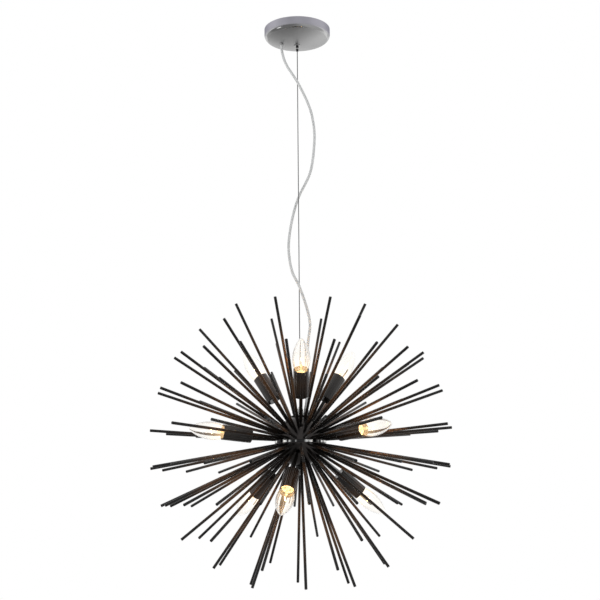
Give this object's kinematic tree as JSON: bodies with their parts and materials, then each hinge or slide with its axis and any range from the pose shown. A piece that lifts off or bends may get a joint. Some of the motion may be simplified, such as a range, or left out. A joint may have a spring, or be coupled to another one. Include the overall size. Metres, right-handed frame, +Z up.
{
  "type": "pendant chandelier",
  "caption": "Round spiky pendant light: straight black rods and candle lights radiate from a small hub that hangs on a steel wire from a chrome canopy.",
  "frame": {"origin": "middle of the two ceiling screw slots, on the ceiling plane where the bracket's feet rest", "axes": "+Z up into the ceiling, the light hangs to -Z, -Y is the pictured front, +X to the right as seen from the front"},
  "size_m": [0.5984, 0.5924, 1.143],
  "materials": {
    "galvanised_steel": "bright zinc-plated strap and nuts",
    "canopy_chrome": "polished chrome on a pressed steel cup, mirror bright with soft grey reflections",
    "terminal_nylon": "natural white nylon",
    "gripper_nickel": "satin nickel on turned brass",
    "plunger_dark": "dark burnished plunger",
    "wire_steel": "fine stranded steel wire",
    "clear_cord": "translucent pale grey cord jacket and grommets",
    "black_enamel": "satin black enamel with warm brown reflections",
    "black_nickel": "dark bright plating on hub shells",
    "belt_chrome": "bright chrome belt",
    "holder_black": "black moulded lamp holder",
    "bulb_glass": "clear thin glass",
    "cap_brass": "bright nickel brass screw cap"
  },
  "bodies": {
    "ceiling": {"ceiling_bracket": "galvanised_steel", "canopy_cup": "canopy_chrome", "terminal_block": "terminal_nylon", "gripper_body": "gripper_nickel", "gripper_nuts": "galvanised_steel", "wire_tail": "wire_steel", "canopy_cord_gland": "clear_cord", "canopy_cord_tail": "clear_cord", "cord_upper_stretch": "clear_cord", "plunger_spring": "galvanised_steel"},
    "plunger": {"gripper_plunger": "plunger_dark"},
    "pendant": {"suspension_wire": "wire_steel", "power_cord": "clear_cord", "hub_upper_shell": "black_nickel", "hub_lower_shell": "black_nickel", "hub_belt": "belt_chrome", "hub_lid": "black_enamel", "centre_tube": "galvanised_steel", "wire_anchor": "gripper_nickel", "bottom_nut": "black_enamel", "hub_cord_gland": "clear_cord", "hub_cord_tail": "clear_cord", "hub_connector": "terminal_nylon", "rods_row_1": "black_enamel", "rods_row_2": "black_enamel", "rods_row_3": "black_enamel", "rods_row_4": "black_enamel", "rods_row_5": "black_enamel", "rods_row_6": "black_enamel", "rods_row_7": "black_enamel", "rods_row_8": "black_enamel", "rods_row_9": "black_enamel", "rods_row_10": "black_enamel", "arm_tubes": "black_enamel", "covers_upper": "black_enamel", "covers_middle": "black_enamel", "covers_lower": "black_enamel", "holders_upper": "holder_black", "holders_middle": "holder_black", "holders_lower": "holder_black"},
    "bulb_1": {"bulb_1_glass": "bulb_glass", "bulb_1_cap": "cap_brass"},
    "bulb_2": {"bulb_2_glass": "bulb_glass", "bulb_2_cap": "cap_brass"},
    "bulb_3": {"bulb_3_glass": "bulb_glass", "bulb_3_cap": "cap_brass"},
    "bulb_4": {"bulb_4_glass": "bulb_glass", "bulb_4_cap": "cap_brass"},
    "bulb_5": {"bulb_5_glass": "bulb_glass", "bulb_5_cap": "cap_brass"},
    "bulb_6": {"bulb_6_glass": "bulb_glass", "bulb_6_cap": "cap_brass"},
    "bulb_7": {"bulb_7_glass": "bulb_glass", "bulb_7_cap": "cap_brass"},
    "bulb_8": {"bulb_8_glass": "bulb_glass", "bulb_8_cap": "cap_brass"},
    "bulb_9": {"bulb_9_glass": "bulb_glass", "bulb_9_cap": "cap_brass"}
  },
  "joints": [
    {"name": "pendant_swing", "type": "hinge", "parent": "ceiling", "child": "pendant", "pos_m": [0, 0, -0.048], "axis": [0, 1, 0], "range_deg": [-20, 20]},
    {"name": "plunger_press", "type": "slide", "parent": "ceiling", "child": "plunger", "axis": [0, 0, 1], "range_m": [0, 0.003], "stiffness_N_per_m": 300, "springref_m": -0.004, "deforming": ["plunger_spring"]},
    {"name": "bulb_1_out", "type": "slide", "parent": "pendant", "child": "bulb_1", "axis": [0.015, -0.5734, 0.8192], "range_m": [0, 0.03]},
    {"name": "bulb_2_out", "type": "slide", "parent": "pendant", "child": "bulb_2", "axis": [0.4891, 0.2997, 0.8192], "range_m": [0, 0.03]},
    {"name": "bulb_3_out", "type": "slide", "parent": "pendant", "child": "bulb_3", "axis": [-0.5041, 0.2737, 0.8192], "range_m": [0, 0.03]},
    {"name": "bulb_4_out", "type": "slide", "parent": "pendant", "child": "bulb_4", "axis": [0.7455, -0.6596, 0.0958], "range_m": [0, 0.03]},
    {"name": "bulb_5_out", "type": "slide", "parent": "pendant", "child": "bulb_5", "axis": [0.1985, 0.9754, 0.0958], "range_m": [0, 0.03]},
    {"name": "bulb_6_out", "type": "slide", "parent": "pendant", "child": "bulb_6", "axis": [-0.944, -0.3158, 0.0958], "range_m": [0, 0.03]},
    {"name": "bulb_7_out", "type": "slide", "parent": "pendant", "child": "bulb_7", "axis": [-0.1616, -0.7602, -0.6293], "range_m": [0, 0.03]},
    {"name": "bulb_8_out", "type": "slide", "parent": "pendant", "child": "bulb_8", "axis": [0.7391, 0.2402, -0.6293], "range_m": [0, 0.03]},
    {"name": "bulb_9_out", "type": "slide", "parent": "pendant", "child": "bulb_9", "axis": [-0.5775, 0.52, -0.6293], "range_m": [0, 0.03]}
  ]
}
